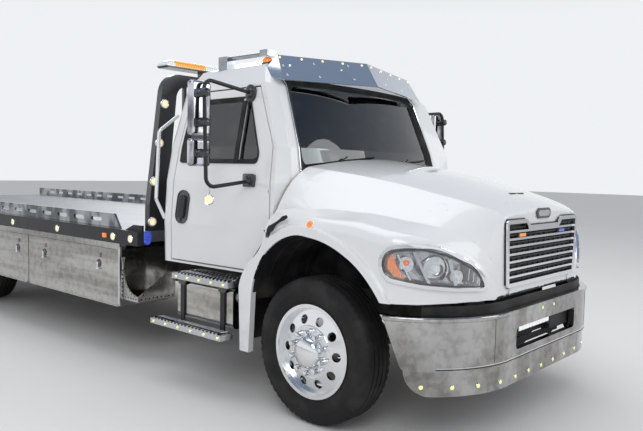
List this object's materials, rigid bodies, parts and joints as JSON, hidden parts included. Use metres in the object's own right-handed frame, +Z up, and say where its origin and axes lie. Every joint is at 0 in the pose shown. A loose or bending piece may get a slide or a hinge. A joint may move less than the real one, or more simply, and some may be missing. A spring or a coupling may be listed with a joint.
{
  "type": "flatbed tow truck",
  "caption": "Two-axle tow truck with a conventional cab, a tilting hood and a flat deck that slides back and tilts to the ground.",
  "frame": {"origin": "on the ground under the middle of the truck's length and width", "axes": "+X towards the front bumper, +Y to the truck's left, +Z up"},
  "size_m": [9.385, 3.05, 2.4521],
  "materials": {
    "white_paint": "gloss",
    "black_paint": "gloss",
    "frame_black": "satin",
    "chrome": "polished",
    "polished_steel": "polished",
    "polished_rim": "polished",
    "tyre": "matt",
    "rubber": "matt",
    "glass": "clear",
    "lamp": "clear",
    "amber": "gloss",
    "deck_steel": "matt",
    "dark_plastic": "matt",
    "seat_fabric": "woven",
    "cast_iron": "rough",
    "rod_steel": "ground"
  },
  "bodies": {
    "chassis": {"frame_rails": "frame_black", "front_axle": "cast_iron", "rear_axle": "cast_iron", "leaf_springs": "frame_black", "driveline": "cast_iron", "radiator": "dark_plastic", "front_bumper": "chrome", "fuel_tanks": "polished_steel", "cab_steps": "polished_steel", "toolboxes": "polished_steel", "mud_flaps": "rubber", "cab_floor": "white_paint", "cab_roof": "white_paint", "cab_back": "white_paint", "cab_sides": "white_paint", "cab_glass": "glass", "seats": "seat_fabric", "dashboard": "dark_plastic", "sun_visor": "chrome", "air_horn": "chrome", "grab_handles": "chrome"},
    "steering_wheel": {"steering_wheel": "dark_plastic"},
    "hood": {"hood": "white_paint", "grille": "chrome", "headlights": "lamp", "headlight_bowls": "chrome", "headlight_bezels": "chrome"},
    "door_left": {"door_left": "white_paint", "door_glass_left": "glass", "mirror_left": "chrome"},
    "door_right": {"door_right": "white_paint", "door_glass_right": "glass", "mirror_right": "chrome"},
    "knuckle_left": {"knuckle_left": "cast_iron"},
    "knuckle_right": {"knuckle_right": "cast_iron"},
    "tie_rod": {"tie_rod": "frame_black"},
    "wheel_front_left": {"tyre_front_left": "tyre", "rim_front_left": "polished_rim"},
    "wheel_front_right": {"tyre_front_right": "tyre", "rim_front_right": "polished_rim"},
    "wheels_rear_left": {"tyres_rear_left": "tyre", "rims_rear_left": "polished_rim"},
    "wheels_rear_right": {"tyres_rear_right": "tyre", "rims_rear_right": "polished_rim"},
    "toolbox_door_front_left": {"toolbox_door_front_left": "polished_steel"},
    "toolbox_door_rear_left": {"toolbox_door_rear_left": "polished_steel"},
    "toolbox_door_front_right": {"toolbox_door_front_right": "polished_steel"},
    "toolbox_door_rear_right": {"toolbox_door_rear_right": "polished_steel"},
    "tilt_frame": {"tilt_frame": "frame_black", "slide_barrel": "frame_black"},
    "deck": {"deck_floor": "deck_steel", "deck_sides": "black_paint", "headboard": "black_paint", "lightbar": "amber", "winch": "black_paint", "slide_rod": "rod_steel"},
    "winch_drum": {"winch_drum": "rod_steel"},
    "tilt_barrels": {"tilt_barrels": "frame_black"},
    "tilt_rods": {"tilt_rods": "rod_steel"}
  },
  "joints": [
    {"name": "hood_tilt", "type": "hinge", "parent": "chassis", "child": "hood", "pos_m": [4.5075, 0, 0.5], "axis": [0, 1, 0], "range_deg": [0, 55]},
    {"name": "steer_left", "type": "hinge", "parent": "chassis", "child": "knuckle_left", "pos_m": [3.6575, 0.876, 0.465], "axis": [0, 0, 1], "range_deg": [-38, 38]},
    {"name": "steer_right", "type": "hinge", "parent": "chassis", "child": "knuckle_right", "pos_m": [3.6575, -0.876, 0.465], "axis": [0, 0, 1], "range_deg": [-38, 38]},
    {"name": "tie_rod_pivot", "type": "hinge", "parent": "knuckle_left", "child": "tie_rod", "pos_m": [3.4675, 0.876, 0.3], "axis": [0, 0, 1], "range_deg": [-38, 38]},
    {"name": "steering_wheel_turn", "type": "hinge", "parent": "chassis", "child": "steering_wheel", "pos_m": [2.7575, 0.56, 1.43], "axis": [-0.9397, 0, 0.342], "range_deg": [-532, 532]},
    {"name": "door_left_swing", "type": "hinge", "parent": "chassis", "child": "door_left", "pos_m": [3.2125, 1.096, 1.3], "axis": [0, 0, -1], "range_deg": [0, 68]},
    {"name": "wheel_front_left_spin", "type": "hinge", "parent": "knuckle_left", "child": "wheel_front_left", "pos_m": [3.6575, 1.04, 0.465], "axis": [0, 1, 0], "continuous": true},
    {"name": "wheels_rear_left_spin", "type": "hinge", "parent": "chassis", "child": "wheels_rear_left", "pos_m": [-1.8025, 0.941, 0.465], "axis": [0, 1, 0], "continuous": true},
    {"name": "toolbox_door_front_left_drop", "type": "hinge", "parent": "chassis", "child": "toolbox_door_front_left", "pos_m": [0.2625, 1.228, 0.456], "axis": [-1, 0, 0], "range_deg": [0, 90]},
    {"name": "toolbox_door_rear_left_drop", "type": "hinge", "parent": "chassis", "child": "toolbox_door_rear_left", "pos_m": [0.2625, 1.228, 0.456], "axis": [-1, 0, 0], "range_deg": [0, 90]},
    {"name": "door_right_swing", "type": "hinge", "parent": "chassis", "child": "door_right", "pos_m": [3.2125, -1.096, 1.3], "axis": [0, 0, 1], "range_deg": [0, 68]},
    {"name": "wheel_front_right_spin", "type": "hinge", "parent": "knuckle_right", "child": "wheel_front_right", "pos_m": [3.6575, -1.04, 0.465], "axis": [0, 1, 0], "continuous": true},
    {"name": "wheels_rear_right_spin", "type": "hinge", "parent": "chassis", "child": "wheels_rear_right", "pos_m": [-1.8025, -0.941, 0.465], "axis": [0, 1, 0], "continuous": true},
    {"name": "toolbox_door_front_right_drop", "type": "hinge", "parent": "chassis", "child": "toolbox_door_front_right", "pos_m": [0.2625, -1.228, 0.456], "axis": [1, 0, 0], "range_deg": [0, 90]},
    {"name": "toolbox_door_rear_right_drop", "type": "hinge", "parent": "chassis", "child": "toolbox_door_rear_right", "pos_m": [0.2625, -1.228, 0.456], "axis": [1, 0, 0], "range_deg": [0, 90]},
    {"name": "deck_tilt", "type": "hinge", "parent": "chassis", "child": "tilt_frame", "pos_m": [-2.9025, 0, 0.901], "axis": [0, -1, 0], "range_deg": [0, 11.7]},
    {"name": "deck_slide", "type": "slide", "parent": "tilt_frame", "child": "deck", "axis": [-1, 0, 0], "range_m": [0, 2.9]},
    {"name": "winch_turn", "type": "hinge", "parent": "deck", "child": "winch_drum", "pos_m": [1.6575, 0, 1.22], "axis": [0, 1, 0], "continuous": true},
    {"name": "cylinder_swing", "type": "hinge", "parent": "chassis", "child": "tilt_barrels", "pos_m": [-2.2425, 0, 0.64], "axis": [0, -1, 0], "range_deg": [0, 17.59]},
    {"name": "cylinder_stroke", "type": "slide", "parent": "tilt_barrels", "child": "tilt_rods", "axis": [0.9649, 0, 0.2627], "range_m": [0, 0.10352]}
  ],
  "couplings": [
    {"joint": "steer_right", "follows": "steer_left", "ratio": 1},
    {"joint": "tie_rod_pivot", "follows": "steer_left", "ratio": -1},
    {"joint": "steering_wheel_turn", "follows": "steer_left", "ratio": 14},
    {"joint": "cylinder_swing", "follows": "deck_tilt", "ratio": 1.5037},
    {"joint": "cylinder_stroke", "follows": "deck_tilt", "m_per_rad": 0.50689}
  ]
}
